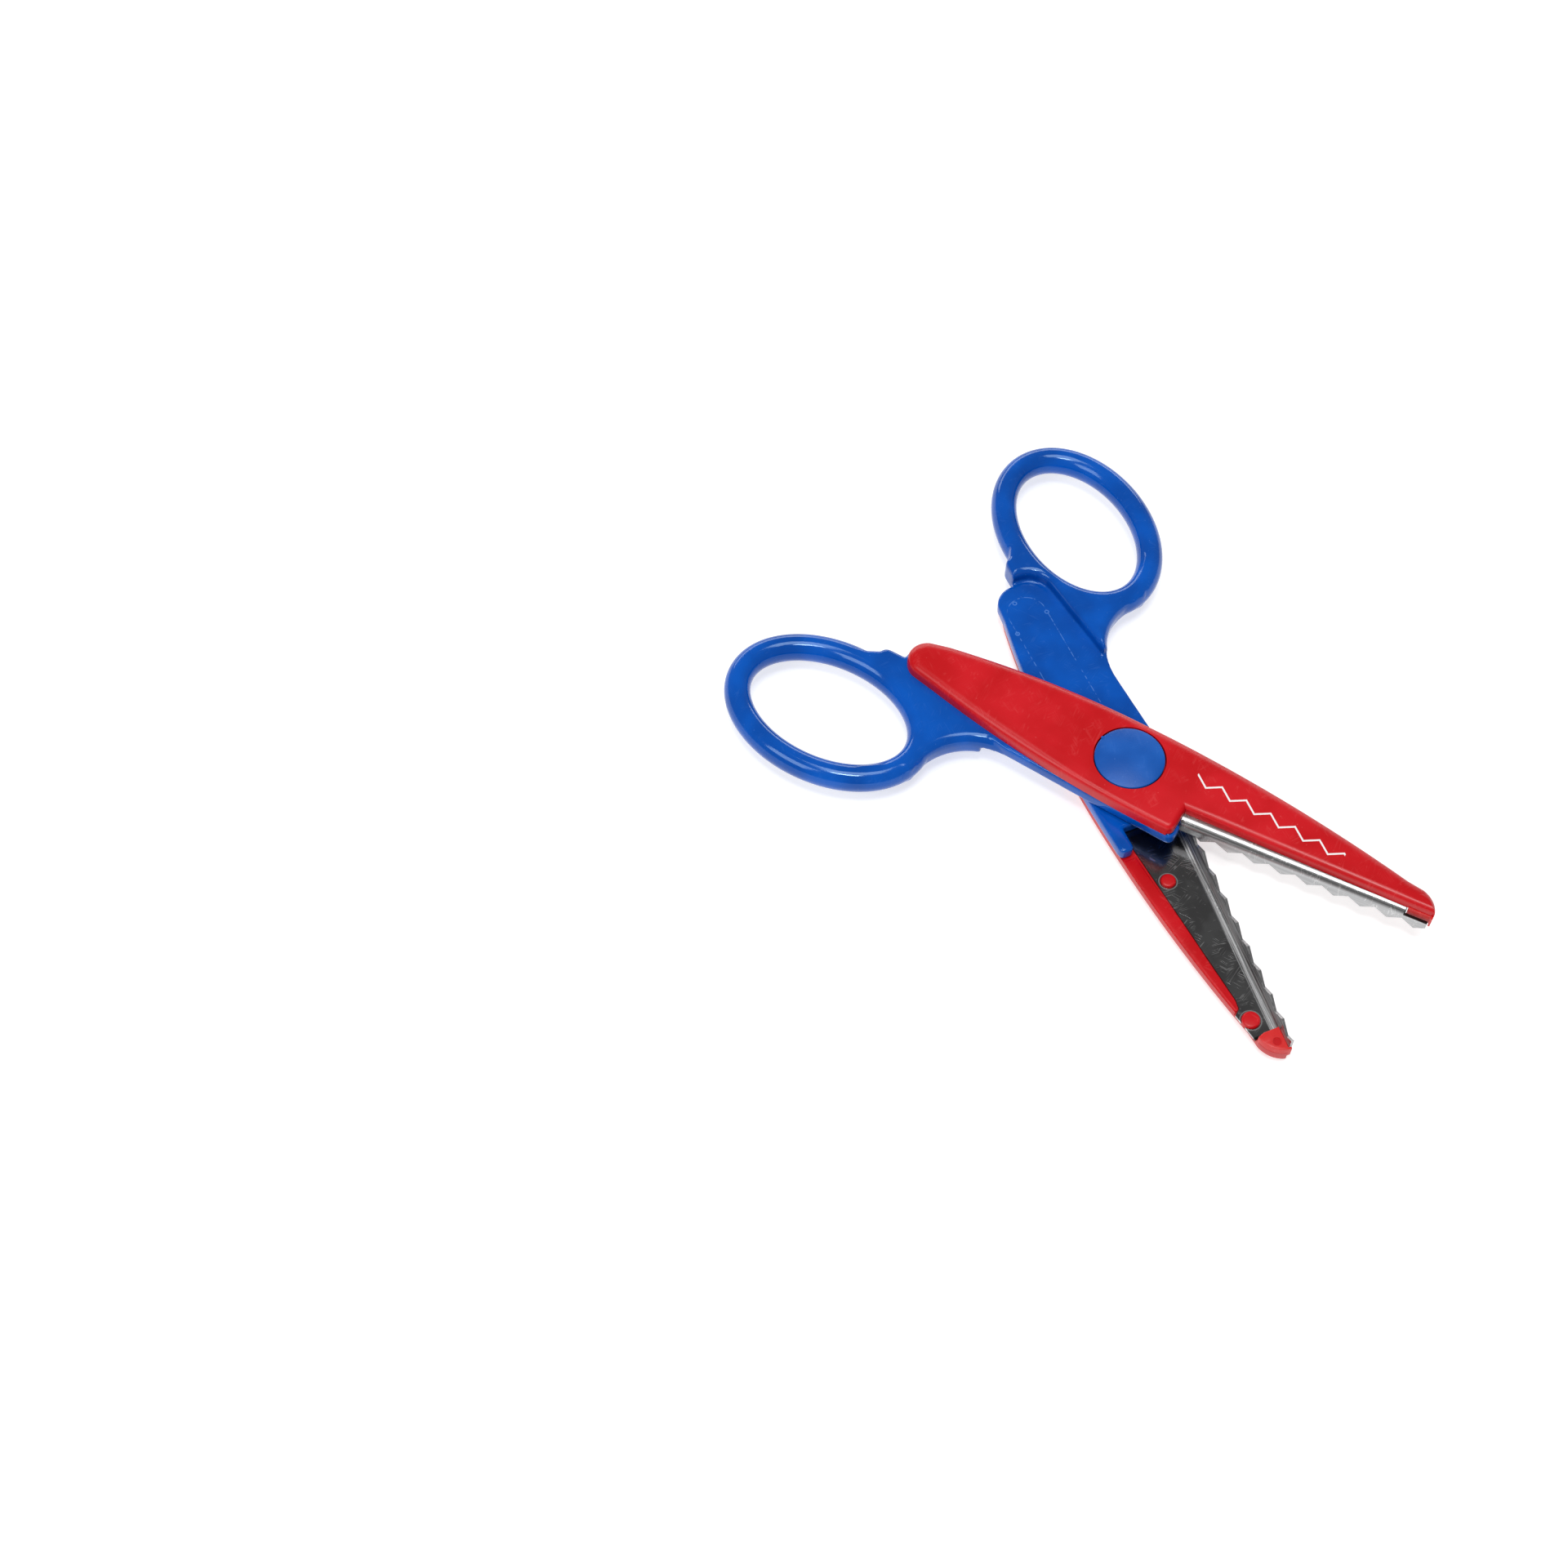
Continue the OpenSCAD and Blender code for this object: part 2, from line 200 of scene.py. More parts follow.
def drawn_plate(name, outline, z0, z1):
    """A vertex extruded from point to point, filled, and extruded into a plate."""
    deselect()
    x, y = outline[0]
    bpy.ops.mesh.primitive_plane_add(size=0.1, location=(x, y, z0))
    obj = bpy.context.active_object
    obj.name = name
    bpy.ops.object.transform_apply(location=True, rotation=False, scale=False)
    bpy.ops.object.mode_set(mode="EDIT")
    bpy.ops.mesh.select_mode(type="VERT")
    bpy.ops.mesh.select_all(action="SELECT")
    bpy.ops.mesh.merge(type="CENTER")
    for here, there in zip(outline, outline[1:]):
        step = (there[0] - here[0], there[1] - here[1], 0)
        bpy.ops.mesh.extrude_region_move(TRANSFORM_OT_translate={"value": step})
    bpy.ops.mesh.select_all(action="SELECT")
    bpy.ops.mesh.edge_face_add()
    bpy.ops.mesh.extrude_region_move(TRANSFORM_OT_translate={"value": (0, 0, z1 - z0)})
    bpy.ops.mesh.select_all(action="SELECT")
    bpy.ops.mesh.normals_make_consistent(inside=False)
    bpy.ops.object.mode_set(mode="OBJECT")
    return obj


def lofted(name, loops):
    """The first loop drawn and filled, then extruded from loop to loop, vertex by vertex."""
    obj = drawn_plate(name, [p[:2] for p in loops[0]], loops[0][0][2], loops[1][0][2])
    before = loops[0]
    for loop in loops[1:]:
        places = {(round(p[0], 3), round(p[1], 3)): q for p, q in zip(before, loop)}
        pick(obj)
        if before is not loops[0]:
            bpy.ops.object.mode_set(mode="EDIT")
            bpy.ops.mesh.extrude_region_move(TRANSFORM_OT_translate={"value": (0, 0, 0)})
            bpy.ops.object.mode_set(mode="OBJECT")
            moving = [v for v in obj.data.vertices if v.select]
        else:
            moving = [v for v in obj.data.vertices if abs(v.co.z - loops[1][0][2]) < 1e-4]
        for v in moving:
            v.co = places[(round(v.co.x, 3), round(v.co.y, 3))]
        for part in (obj.data.vertices, obj.data.edges, obj.data.polygons):
            part.foreach_set("select", [False] * len(part))
        top = {v.index for v in moving}
        for f in obj.data.polygons:
            f.select = set(f.vertices) == top
        for v in moving:
            v.select = True
        for e in obj.data.edges:
            e.select = e.vertices[0] in top and e.vertices[1] in top
        before = loop
    pick(obj)
    bpy.ops.object.mode_set(mode="EDIT")
    bpy.ops.mesh.select_all(action="SELECT")
    bpy.ops.mesh.normals_make_consistent(inside=False)
    bpy.ops.object.mode_set(mode="OBJECT")
    return obj


def drum(name, x, y, radius, z0, z1, sides=96):
    deselect()
    bpy.ops.mesh.primitive_cylinder_add(
        vertices=sides, radius=radius, depth=z1 - z0, location=(x, y, (z0 + z1) / 2))
    obj = bpy.context.active_object
    obj.name = name
    bpy.ops.object.transform_apply(location=True, rotation=False, scale=False)
    return obj


def apply_modifier(obj, kind, **values):
    pick(obj)
    bpy.ops.object.modifier_add(type=kind)
    modifier = obj.modifiers[-1]
    for key, value in values.items():
        setattr(modifier, key, value)
    bpy.ops.object.modifier_apply(modifier=modifier.name)


def combine(obj, other, operation):
    apply_modifier(obj, "BOOLEAN", object=other, operation=operation, solver="EXACT")
    bpy.data.objects.remove(other)


def joined(objs, name):
    deselect()
    for o in objs:
        o.select_set(True)
    bpy.context.view_layer.objects.active = objs[0]
    bpy.ops.object.join()
    obj = bpy.context.active_object
    obj.name = name
    return obj


def rounded(obj, weights, width, segments):
    """Bevels edges by weight: weights(a, b) gives 0 to 1 for an edge's two ends."""
    mesh = obj.data
    layer = mesh.attributes.new("bevel_weight_edge", "FLOAT", "EDGE")
    for e in mesh.edges:
        a, b = (mesh.vertices[i].co for i in e.vertices)
        layer.data[e.index].value = weights(a, b)
    apply_modifier(obj, "BEVEL", width=width, segments=segments, limit_method="WEIGHT",
                   use_clamp_overlap=False, offset_type="OFFSET")
    left = obj.data.attributes.get("bevel_weight_edge")
    if left:
        obj.data.attributes.remove(left)


def on_level(z):
    """Weights for rounded: the edges that lie at height z."""
    return lambda a, b: 1.0 if abs(a.z - z) < 0.01 and abs(b.z - z) < 0.01 else 0.0


def smooth(obj, angle):
    pick(obj)
    bpy.ops.object.shade_smooth_by_angle(angle=math.radians(angle))


def copied(obj, name):
    twin = obj.copy()
    twin.data = obj.data.copy()
    twin.name = name
    bpy.context.collection.objects.link(twin)
    return twin


TURN = math.radians(HALF_OPENING)
LEVERS = {
    "upper": Matrix.Translation((0, 0, MID_Z)) @ Matrix.Rotation(TURN, 4, "Z"),
    "lower": (Matrix.Translation((0, 0, MID_Z)) @ Matrix.Rotation(-TURN, 4, "Z")
              @ Matrix.Rotation(math.pi, 4, "X")),
}


def placed(obj, lever):
    """Turns a piece drawn in the lever's frame, in mm, into its place in metres."""
    pick(obj)
    obj.matrix_world = Matrix.Scale(0.001, 4) @ LEVERS[lever]
    bpy.ops.object.transform_apply(location=True, rotation=True, scale=True)
    return obj


# -------------------------------------------------------------------- handles
def finger_ring():
    deselect()
    bpy.ops.curve.primitive_bezier_circle_add(radius=1, location=(0, 0, 0))
    ring = bpy.context.active_object
    ring.data.dimensions = "3D"
    ring.scale = (RING_A, RING_B, 1)
    bpy.ops.object.transform_apply(location=False, rotation=False, scale=True)
    for point in ring.data.splines[0].bezier_points:
        point.radius = 1
    ring.data.resolution_u = 40
    ring.data.bevel_depth = TUBE_R
    ring.data.bevel_resolution = 10
    pick(ring)
    bpy.ops.object.convert(target="MESH")
    ring = bpy.context.active_object
    ring.scale = (1, 1, TUBE_HIGH)
    ring.rotation_euler = (0, 0, math.radians(RING_TILT))
    ring.location = (RING_CENTRE[0], RING_CENTRE[1], 0)
    bpy.ops.object.transform_apply(location=True, rotation=True, scale=True)
    return ring


def nest_outline(gap):
    """Where the other lever's tongue lies when shut, and all in front of the root."""
    tail = arc(TONGUE_TAIL_C, TONGUE_TAIL_R + gap, 180, 100, 8)
    back = back_edge(-36, -25.2 - gap, REAR_R, TONGUE_OUT + gap, 6)
    edge = [(x, -y) for x, y in tail + back]
    return edge + [(-25.2 - gap, -30), (20, -30), (20, 20), (-46.6 - gap, 20)]


def nest_cutter():
    """Its walls flare out, so the edge it leaves is rounded."""
    rows = ((FACE_GAP, 0.4), (-1.4, 0.42), (-1.8, 0.52), (-2.15, 0.72),
            (-2.4, 1.0), (-2.56, 1.35), (-2.7, 1.9), (-5.0, 2.2))
    return lofted("nest", [[(x, y, z) for x, y in nest_outline(gap)] for z, gap in rows])


def build_handle():
    root = drawn_plate("root", root_outline(), -ROOT_HALF, ROOT_HALF)
    tongue_z = SLAB - FACE_GAP

    def root_round(a, b):
        flat = abs(abs(a.z) - ROOT_HALF) < 0.01 and abs(a.z - b.z) < 0.01
        mid = (a + b) / 2
        if not flat:
            return 0.0
        if abs((mid - Vector((NECK_C[0], NECK_C[1], mid.z))).length - NECK_R) < 0.15:
            return 1.0
        if -57 < mid.x < -44 and mid.y > -3:
            return 0.5
        if -39.5 < mid.x < -33 and mid.y < -20:
            outside = math.hypot((mid.x - RING_CENTRE[0]) / RING_A,
                                 (mid.y - RING_CENTRE[1]) / RING_B) - 1
            return min(0.95, max(0.0, outside * 17 / 2.6))
        return 0.0

    rounded(root, root_round, 2.0, 8)
    combine(root, nest_cutter(), "DIFFERENCE")
    ring = finger_ring()
    combine(ring, nest_cutter(), "DIFFERENCE")
    tongue = drawn_plate("tongue", tongue_outline(), FACE_GAP, SLAB)
    rounded(tongue, lambda a, b: 1.0 if abs(a.z - b.z) < 0.01 else 0.0, 0.5, 4)
    handle = joined([root, tongue, ring], "handle")
    apply_modifier(handle, "REMESH", mode="VOXEL", voxel_size=0.24, use_smooth_shade=True)
    apply_modifier(handle, "SMOOTH", factor=0.5, iterations=6)
    combine(handle, drum("hub_hole", 0, 0, HUB_ROOM_R, -3, 4), "DIFFERENCE")
    smooth(handle, 40)
    return handle


# --------------------------------------------------------------------- covers
def build_cover():
    """A cushion: rounded widely on the back edge and the rear, more tightly beside the blade."""
    def at(angle):
        rise, run = math.sin(angle), 1 - math.cos(angle)
        tight, wide = cover_outline(run), cover_outline(2.4 * run)
        loop = []
        for p, q, (x, y) in zip(tight, wide, cover_outline()):
            back = min(1.0, max(0.0, (y + 0.5) / 3))
            rear = min(1.0, max(0.0, (-6 - x) / 12))
            side = [p[i] + (q[i] - p[i]) * 0.45 * rear for i in (0, 1)] if x < STEP_X - 8 else p
            depth = 1.0 + 0.4 * max(back, rear)
            loop.append((side[0] + (q[0] - side[0]) * back, side[1] + (q[1] - side[1]) * back,
                         COVER_TOP - depth * (1 - rise)))
        return loop

    steps = 9
    loops = [[(x, y, SLAB) for x, y in cover_outline()]]
    loops += [at(math.radians(90 * i / steps)) for i in range(steps + 1)]
    cover = lofted("cover", loops)
    web = [(-7.4, 3), (-6, 5.5), (-3, 6.9), (0, 7.4), (10, 5.5), (30, 4.0), (48, 2.75),
           (49.8, 3.05), (50.6, 4.25), (56.35, 3.35), (56.4, 1.6), (62.9, -3), (62.9, -12),
           (13.0, -12), (11.5, -5.35), (0, -7.5), (-4, -6.4), (-7.4, -2.5)]
    combine(cover, drawn_plate("web_room", web, 1, SLAB + SHEET + 0.05), "DIFFERENCE")
    combine(cover, drum("button_room", 0, 0, BUTTON_R + 0.25, HEAD_Z - 0.05, 9, 128), "DIFFERENCE")
    combine(cover, drum("hub_room", 0, 0, HUB_ROOM_R, 0, 9), "DIFFERENCE")
    smooth(cover, 30)
    return cover


def build_rim():
    inner = [(15.3, 5.5), (22, 4.95), (30, 4.0), (40, 3.35), (48, 2.75), (49.1, 2.9),
             (49.9, 3.4), (50.2, 4.0)]
    outer = [(x, y - 0.1) for x, y in back_edge(50.0, 15.3, NOSE_R, 0, 14)]
    rim = drawn_plate("rim", inner + outer, RIM_Z, SUNK_Z)
    rounded(rim, on_level(RIM_Z), 0.25, 3)
    smooth(rim, 30)
    return rim


def build_tip():
    outline = (
        [(56.12, 1.7), (56.5, 2.9)]
        + arc(NOSE_C, NOSE_ARC_R - 0.03, 80, 12, 12)
        + [(60.72, -1.4), (60.35, -1.45), (60.3, -0.9), (56.12, -1.3)]
    )
    tip = drawn_plate("tip", outline, TIP_Z, SUNK_Z)
    rounded(tip, on_level(TIP_Z), 0.15, 3)
    combine(tip, drum("gate", *GATE, 0.8, 0.5, 1.3, 32), "DIFFERENCE")
    smooth(tip, 30)
    return tip


def build_peg(x, y, radius):
    peg = drum("peg", x, y, radius, 2.1, 3.4, 48)
    pick(peg)
    bpy.ops.object.mode_set(mode="EDIT")
    select_edges(peg, lambda a, b: a.z < 2.11 and b.z < 2.11)
    bpy.ops.mesh.bevel(offset=0.35, segments=4, affect="EDGES")
    bpy.ops.object.mode_set(mode="OBJECT")
    smooth(peg, 30)
    return peg


# -------------------------------------------------------------------- buttons
def build_button():
    """A domed disc: half profile spun round the pivot."""
    r, h = BUTTON_R, DOME_TOP - COVER_TOP
    cap = (r * r + h * h) / (2 * h)
    profile = [(0.0, HEAD_Z), (r - 0.05, HEAD_Z), (r, HEAD_Z + 0.1), (r, COVER_TOP - 0.12)]
    for i in range(1, 5):
        a = math.radians(90 * i / 5)
        profile.append((r - 0.28 * (1 - math.cos(a)), COVER_TOP - 0.12 + 0.18 * math.sin(a)))
    for i in range(1, 15):
        q = (r - 0.3) * (1 - i / 14)
        profile.append((q, min(DOME_TOP - 0.01, DOME_TOP - cap + math.sqrt(cap * cap - q * q))))
    deselect()
    bpy.ops.mesh.primitive_plane_add(size=0.05, location=(profile[0][0], 0, profile[0][1]))
    button = bpy.context.active_object
    bpy.ops.object.transform_apply(location=True, rotation=False, scale=False)
    bpy.ops.object.mode_set(mode="EDIT")
    bpy.ops.mesh.select_mode(type="VERT")
    bpy.ops.mesh.select_all(action="SELECT")
    bpy.ops.mesh.merge(type="CENTER")
    for here, there in zip(profile, profile[1:]):
        step = (there[0] - here[0], 0, there[1] - here[1])
        bpy.ops.mesh.extrude_region_move(TRANSFORM_OT_translate={"value": step})
    bpy.ops.mesh.select_all(action="SELECT")
    bpy.ops.mesh.spin(steps=128, angle=math.tau, center=(0, 0, 0), axis=(0, 0, 1))
    bpy.ops.mesh.select_all(action="SELECT")
    bpy.ops.mesh.remove_doubles(threshold=0.001)
    bpy.ops.mesh.normals_make_consistent(inside=False)
    bpy.ops.object.mode_set(mode="OBJECT")
    a, out = math.radians(NUB_ANGLE), r - 0.1
    nub = drum("nub", out * math.cos(a), out * math.sin(a), 0.3, 4.8, COVER_TOP + 0.12, 16)
    button = joined([button, nub], "button")
    smooth(button, 40)
    return button


# ------------------------------------------------------------------ materials
def new_group(name, inputs, outputs):
    tree = bpy.data.node_groups.new(name, "ShaderNodeTree")
    for label, kind, default in inputs:
        socket = tree.interface.new_socket(name=label, in_out="INPUT", socket_type=kind)
        if default is not None:
            socket.default_value = default
    for label, kind in outputs:
        tree.interface.new_socket(name=label, in_out="OUTPUT", socket_type=kind)
    return tree, tree.nodes.new("NodeGroupInput"), tree.nodes.new("NodeGroupOutput")


def node(tree, kind, links=None, **values):
    """Adds a node, sets its values and plugs sockets into its inputs."""
    n = tree.nodes.new(kind)
    for key, value in values.items():
        setattr(n, key, value)
    for key, value in (links or {}).items():
        if isinstance(value, bpy.types.NodeSocket):
            tree.links.new(value, n.inputs[key])
        else:
            n.inputs[key].default_value = value
    return n


def math_node(tree, operation, a, b=0.0, clamp=False):
    n = node(tree, "ShaderNodeMath", {0: a, 1: b}, operation=operation, use_clamp=clamp)
    return n.outputs[0]


def multiply_add(tree, a, b, c):
    return node(tree, "ShaderNodeMath", {0: a, 1: b, 2: c}, operation="MULTIPLY_ADD").outputs[0]


def distance(tree, x, y, from_x, from_y):
    """How far the place is, in plan, from a point."""
    dx, dy = math_node(tree, "SUBTRACT", x, from_x), math_node(tree, "SUBTRACT", y, from_y)
    return math_node(tree, "SQRT", math_node(
        tree, "ADD", math_node(tree, "MULTIPLY", dx, dx), math_node(tree, "MULTIPLY", dy, dy)))


def ramp(tree, value, low, high, to_low=0.0, to_high=1.0):
    n = node(tree, "ShaderNodeMapRange",
             {"Value": value, "From Min": low, "From Max": high,
              "To Min": to_low, "To Max": to_high},
             interpolation_type="SMOOTHSTEP")
    return n.outputs["Result"]


def near(tree, value, target, full, gone, strength=1.0):
    """Strength where value is within full of target, and nothing from gone on."""
    off = math_node(tree, "ABSOLUTE", math_node(tree, "SUBTRACT", value, target))
    return ramp(tree, off, full, gone, strength, 0.0)


FLOAT, VECTOR = "NodeSocketFloat", "NodeSocketVector"


def make_grain_group():
    """Fine moulded grain and slow unevenness."""
    tree, inp, out = new_group(
        "moulded_grain",
        [("Place", VECTOR, None), ("Grain Size", FLOAT, 0.3), ("Unevenness Size", FLOAT, 8.0)],
        [("Grain", FLOAT), ("Unevenness", FLOAT)])
    fine = math_node(tree, "DIVIDE", 1.0, inp.outputs["Grain Size"])
    slow = math_node(tree, "DIVIDE", 1.0, inp.outputs["Unevenness Size"])
    grain = node(tree, "ShaderNodeTexNoise", {
        "Vector": inp.outputs["Place"], "Scale": fine, "Detail": 3.0})
    wave = node(tree, "ShaderNodeTexNoise", {
        "Vector": inp.outputs["Place"], "Scale": slow, "Detail": 2.0})
    tree.links.new(grain.outputs["Fac"], out.inputs["Grain"])
    tree.links.new(wave.outputs["Fac"], out.inputs["Unevenness"])
    return tree


def make_scuff_group():
    """Short hairline scratches and small bright specks of wear."""
    tree, inp, out = new_group(
        "scuffs_and_specks",
        [("Place", VECTOR, None), ("Scratch Amount", FLOAT, 0.5), ("Speck Amount", FLOAT, 0.5)],
        [("Scratches", FLOAT), ("Specks", FLOAT)])
    total = None
    for turn, length, seed in ((62, 9.0, 3.1), (-35, 14.0, 11.7), (95, 7.0, 23.3)):
        turned = node(tree, "ShaderNodeMapping", {
            "Vector": inp.outputs["Place"], "Location": (seed, seed, 0),
            "Rotation": (0, 0, math.radians(turn)), "Scale": (length, 0.45, 4.0)}, vector_type="TEXTURE")
        lines = node(tree, "ShaderNodeTexNoise", {
            "Vector": turned.outputs[0], "Scale": 1.0, "Detail": 0.0})
        hair = near(tree, lines.outputs["Fac"], 0.5, 0.0, 0.04)
        patch = node(tree, "ShaderNodeTexNoise", {
            "Vector": inp.outputs["Place"], "Scale": 0.42 + 0.03 * seed / 10, "Detail": 0.0})
        hair = math_node(tree, "MULTIPLY", hair, ramp(tree, patch.outputs["Fac"], 0.58, 0.68))
        total = hair if total is None else math_node(tree, "MAXIMUM", total, hair)
    cells = node(tree, "ShaderNodeTexVoronoi", {"Vector": inp.outputs["Place"], "Scale": 0.9})
    dots = ramp(tree, cells.outputs["Distance"], 0.06, 0.12, 1.0, 0.0)
    shade = node(tree, "ShaderNodeSeparateColor", {0: cells.outputs["Color"]}).outputs[0]
    rare = ramp(tree, shade, 0.72, 0.75)
    dots = math_node(tree, "MULTIPLY", dots, rare)
    tree.links.new(math_node(tree, "MULTIPLY", total, inp.outputs["Scratch Amount"]),
                   out.inputs["Scratches"])
    tree.links.new(math_node(tree, "MULTIPLY", dots, inp.outputs["Speck Amount"]),
                   out.inputs["Specks"])
    return tree


def make_mark_group():
    """Faint outline of the key's pocket on the tongue's inner face, with three small rings."""
    tree, inp, out = new_group("tongue_marks", [("Place", VECTOR, None)], [("Marks", FLOAT)])
    x, y, z = node(tree, "ShaderNodeSeparateXYZ", {0: inp.outputs["Place"]}).outputs
    on_axis = math_node(tree, "MINIMUM", math_node(tree, "MAXIMUM", x, -39.6), -14.0)
    line = near(tree, distance(tree, x, y, on_axis, 0.85), 3.75, 0.03, 0.13)
    breaks = node(tree, "ShaderNodeTexNoise", {
        "Vector": inp.outputs["Place"], "Scale": 0.9, "Detail": 2.0})
    total = math_node(tree, "MULTIPLY", line, ramp(tree, breaks.outputs["Fac"], 0.44, 0.58))
    for cx, cy in ((-36.0, 4.6), (-38.5, -2.8), (-42.6, 2.0)):
        ring = near(tree, distance(tree, x, y, cx, cy), 0.36, 0.05, 0.16)
        total = math_node(tree, "MAXIMUM", total, ring)
    face = ramp(tree, math_node(tree, "ABSOLUTE", z), 0.25, 0.4, 1.0, 0.0)
    tree.links.new(math_node(tree, "MULTIPLY", total, face), out.inputs["Marks"])
    return tree


def new_material(name, lever):
    """An empty material with the shader and the lever's own coordinates in mm."""
    mat = bpy.data.materials.new(name)
    mat.use_nodes = True
    tree = mat.node_tree
    tree.nodes.clear()
    shader = tree.nodes.new("ShaderNodeBsdfPrincipled")
    out = tree.nodes.new("ShaderNodeOutputMaterial")
    tree.links.new(shader.outputs[0], out.inputs[0])
    coords = tree.nodes.new("ShaderNodeTexCoord")
    rotation = {"upper": (0, 0, -TURN), "lower": (math.pi, 0, -TURN), "both": (0, 0, 0)}[lever]
    lift = {"upper": -MID_Z, "lower": MID_Z, "both": -MID_Z}[lever]
    place = node(tree, "ShaderNodeMapping", {
        "Vector": coords.outputs["Object"], "Scale": (1000, 1000, 1000),
        "Rotation": rotation, "Location": (0, 0, lift)})
    return mat, tree, shader, place.outputs[0]


def blend_colour(tree, factor, a, b):
    n = node(tree, "ShaderNodeMix", data_type="RGBA")
    for index, value in ((0, factor), (6, a), (7, b)):
        if isinstance(value, bpy.types.NodeSocket):
            tree.links.new(value, n.inputs[index])
        else:
            n.inputs[index].default_value = value
    return n.outputs[2]


def bump(tree, height, strength, distance):
    n = node(tree, "ShaderNodeBump", {"Height": height, "Strength": strength, "Distance": distance})
    return n.outputs[0]


def srgb(r, g, b):
    def lin(c):
        c /= 255
        return c / 12.92 if c <= 0.04045 else ((c + 0.055) / 1.055) ** 2.4
    return (lin(r), lin(g), lin(b), 1.0)


GRAIN = make_grain_group()
SCUFFS = make_scuff_group()
TONGUE_MARKS = make_mark_group()


def use(tree, group, **inputs):
    n = tree.nodes.new("ShaderNodeGroup")
    n.node_tree = group
    for key, value in inputs.items():
        socket = n.inputs[key.replace("_", " ")]
        if isinstance(value, bpy.types.NodeSocket):
            tree.links.new(value, socket)
        else:
            socket.default_value = value
    return n


def plastic(name, lever, deep, light, rough, rough_spread, grain_height,
            scratch, speck, mark_colour):
    """Moulded plastic between two shades, with grain, scratches and specks."""
    mat, tree, shader, place = new_material(name, lever)
    grain = use(tree, GRAIN, Place=place, Grain_Size=0.35, Unevenness_Size=9.0)
    scuffs = use(tree, SCUFFS, Place=place, Scratch_Amount=scratch, Speck_Amount=speck)
    colour = blend_colour(tree, ramp(tree, grain.outputs["Unevenness"], 0.3, 0.7), deep, light)
    marks = math_node(tree, "MAXIMUM", scuffs.outputs["Scratches"], scuffs.outputs["Specks"], True)
    colour = blend_colour(tree, marks, colour, mark_colour)
    polish = ramp(tree, grain.outputs["Unevenness"], 0.3, 0.7, rough, rough + rough_spread)
    roughness = math_node(tree, "ADD", polish, math_node(tree, "MULTIPLY", marks, 0.25), True)
    tree.links.new(colour, shader.inputs["Base Color"])
    tree.links.new(roughness, shader.inputs["Roughness"])
    height = math_node(tree, "SUBTRACT", grain.outputs["Grain"], math_node(tree, "MULTIPLY", marks, 0.6))
    tree.links.new(bump(tree, height, 1.0, grain_height * 0.001), shader.inputs["Normal"])
    shader.inputs["IOR"].default_value = 1.5
    shader.inputs["Specular IOR Level"].default_value = 0.38
    return mat, tree, shader, place, colour


